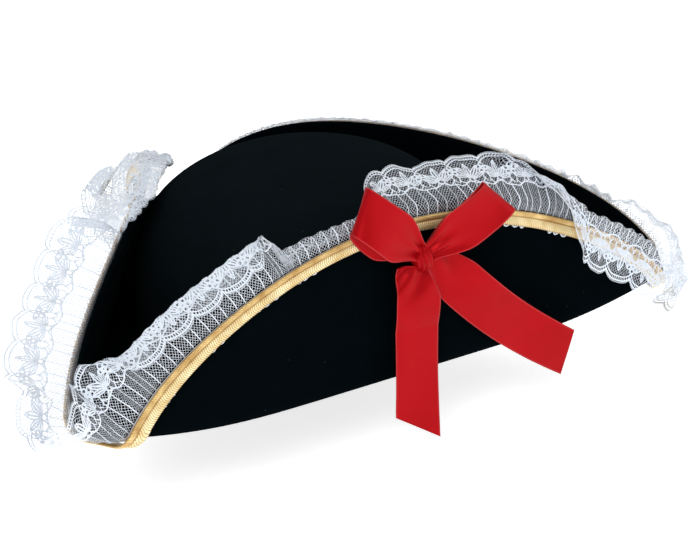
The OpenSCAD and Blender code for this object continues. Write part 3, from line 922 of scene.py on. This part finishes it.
def loop_points(angle, length, turned, slip, deep, crease, cup, rows=96, columns=25):
    """Grid of a loop: its way out from the knot, and how far its far end is turned from that."""
    reach = np.array([math.cos(math.radians(angle)), 0, math.sin(math.radians(angle))])
    start = math.degrees(math.asin(inside_knot / length))
    s = np.linspace(start, 180 - start, rows)[:, None]
    q = np.linspace(-0.5, 0.5, columns)[None, :]
    opened = smooth(sind(s) / 0.5)
    width = pinched_width + (ribbon_width - pinched_width) * opened
    tight = 1 - smooth(sind(s) / 0.6)
    back = smooth((s - 80) / 60)
    cross = angle + turned * smooth(sind(s))
    wide = np.stack([-sind(cross), 0 * cross, cosd(cross)], -1)
    depth = -deep * np.sin(np.radians(2 * s)) * (0.9 + 0.25 * q * crease)
    pleats = (tight * pleat_depth * np.cos(2 * math.pi * (2.3 * q + 0.15))
              + cup * (q ** 2 - 0.08) * (1 - tight))
    aside = q * width + slip * back * (1 - tight)
    points = (np.array([bow_x, loop_y, bow_z]) + reach * length * sind(s)[..., None]
              + wide * aside[..., None]
              + np.array([0, 1, 0]) * (depth + np.where(s < 90, -1, 1) * pleats)[..., None])
    return points, s, q


for name, angle, length, turned, slip, deep, crease, cup in (
        ("left", 136, 0.0465, 19, 0.0035, 0.0068, 0.5, 0.004),
        ("right", 25, 0.05, 18, -0.0055, 0.0045, -0.3, 0.005)):
    points, s, q = loop_points(angle, length, turned, slip, deep, crease, cup)
    loop_length = loop_share * length
    made = ribbon_piece(f"bow_loop_{name}_ribbon", points, s / 180 * loop_length, q + 0.5,
                        f"bow_loop_{name}")
    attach(made, "hat")

# The knot is a short sleeve of ribbon, creased along its turns and narrower at the top
knot_wide, knot_tall, knot_deep = 0.005, 0.0082, (knot_high.y - knot_low.y) / 2
knot_tilt, knot_forward, knot_down, knot_inset = 0.0006, 0.0004, 0.0003, 0.93
knot_turns, knot_columns, crease_depth, crease_pace = 72, 41, 0.075, 13
round_knot = np.radians(np.linspace(0, 360, knot_turns, endpoint=False))[:, None]
over_knot = np.linspace(-1, 1, knot_columns)[None, :]
shoulder = np.maximum(1 - np.abs(over_knot) ** 3.2, 0) ** 0.5
folds = np.cos(crease_pace * over_knot + 1.2 * np.sin(round_knot * 2)) * (1 - 0.4 * over_knot)
creases = 1 + crease_depth * shoulder * folds
narrow = 1 - 0.28 * smooth((np.sin(round_knot) - 0.3) / 0.7) + 0.1 * np.cos(2 * round_knot)
knot_points = np.stack([
    bow_x + knot_wide * over_knot * narrow - knot_tilt * np.sin(round_knot),
    knot_middle.y - knot_forward - knot_deep * knot_inset * shoulder * creases * np.cos(round_knot),
    bow_z - knot_down + knot_tall * (0.25 + 0.75 * shoulder) * creases * np.sin(round_knot)], -1)
knot = grid_piece("bow_knot_ribbon", knot_points, ring=True, strips=1)
mark(knot, round_knot * knot_tall + 0 * over_knot, 0.5 + 0.46 * over_knot + 0 * round_knot)
red_satin.put_on(knot)
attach(knot, "hat")
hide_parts("bow_knot")

hold_low, hold_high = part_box("bow_stitches")
hold_middle = (hold_low + hold_high) / 2
hold_step = 0.005
hold_rise = np.array([-hold_step, 0, hold_step])
hold_place = np.stack([hold_middle.x + 0 * hold_rise,
                       hold_middle.y + hold_rise * math.tan(math.radians(front_lean)),
                       hold_middle.z + hold_rise], -1)
hold = many_piece("bow_stitches_thread", beads(
    hold_place, np.tile([hold_high.x - hold_low.x, 0, 0], (3, 1)), np.tile([0.0, 1, 0], (3, 1)),
    stitch_radius * 0.95, rings=15, sides=12, plump=0.2), loop=True)
thread_finish("red_thread", (0.2, 0.004, 0.006, 1), (0.38, 0.012, 0.014, 1), 0.5).put_on(hold)
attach(hold, "hat")
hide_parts("bow_stitches")

# ---- Ribbon tails ----
# The two cut ends of the bow's ribbon. They hang from under the knot over the front flap.
# Each tail has a hinge where a finger lifts it forwards from the knot; it is read from model.json.


def tail_points(root, angle, bow, length, cut, first, start_left, start_right, rows=110, columns=25):
    """Grid of a tail, from inside the knot to its cut end."""
    k = np.linspace(first, 1, rows)[:, None]
    q = np.linspace(-0.5, 0.5, columns)[None, :]
    turn, aim = angle + bow * (k - 0.5), angle + bow * (k - 1) / 2
    opened = smooth((k + 0.02) / 0.2)
    low = -start_left + (start_left - ribbon_width / 2) * opened
    high = start_right + (ribbon_width / 2 - start_right) * opened
    aside = low + (high - low) * (q + 0.5)
    slant = cut * smooth((k - 0.7) / 0.3)
    x = root[0] + length * k * cosd(aim) - sind(turn) * aside + 2 * q * slant * cosd(turn)
    z = root[2] + length * k * sind(aim) + cosd(turn) * aside + 2 * q * slant * sind(turn)
    return x, z, k, q


knot_side, knot_half = knot_high.x - bow_x, knot_high.z - bow_z
tail_drop, tail_side, tail_slack = 0.001, 0.0045, 1.05
bend_above, bend_below = 0.002, 0.006
for name, angle, bow, length, cut, first, start_left, start_right in (
        ("left", -94, 2, 0.085, 0.008, -0.04, 0.0115, 0.0065),
        ("right", -44, 18, 0.102, -0.007, -0.12, 0.007, 0.009)):
    tail_low, tail_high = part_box(f"ribbon_tail_{name}")
    tail_y = (tail_low.y + tail_high.y) / 2
    root = ((bow_x - tail_side / 2, tail_y, bow_z - knot_half - tail_drop) if name == "left"
            else (bow_x + knot_side + tail_side, tail_y, bow_z - knot_half + tail_drop))
    x, z, k, q = tail_points(root, angle, bow, length, cut, first, start_left, start_right)
    # Creases near the knot, then slow waves; the right tail is also cupped and twists
    near_knot = np.exp(-(k / 0.13) ** 2)
    if name == "left":
        folds = (0.0011 * near_knot * np.cos(2 * math.pi * (1.4 * q + 5 * k))
                 + 0.0022 * np.sin(math.pi * np.clip(k / 0.36, 0, 1))
                 + 0.0006 * np.sin(5 * k + 2 * q) + 0.0012 * smooth((k - 0.5) / 0.5) * (q + 0.3))
    else:
        folds = (0.0009 * near_knot * np.cos(2 * math.pi * (1.6 * q + 2 * k))
                 + 0.0016 * np.sin(math.pi * 2.1 * k + 1.5 * q) * smooth(k / 0.25)
                 + 0.0016 * (q * q * 4 - 0.4) * smooth(k / 0.2) * (1 - k)
                 + 0.009 * q * smooth(k / 0.4))
    points = np.stack(np.broadcast_arrays(x, tail_y - folds, z), -1)
    made = ribbon_piece(f"ribbon_tail_{name}_ribbon", points, k * length, q + 0.5,
                        f"ribbon_tail_{name}")
    joint = f"tail_{name}_lift"
    hinge = next(j for j in frame["record"]["behaviour"]["joints"] if j["name"] == joint)["pos_m"]
    hinge[2] + bend_above
    hinge[2] - bend_below
    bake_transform(made)
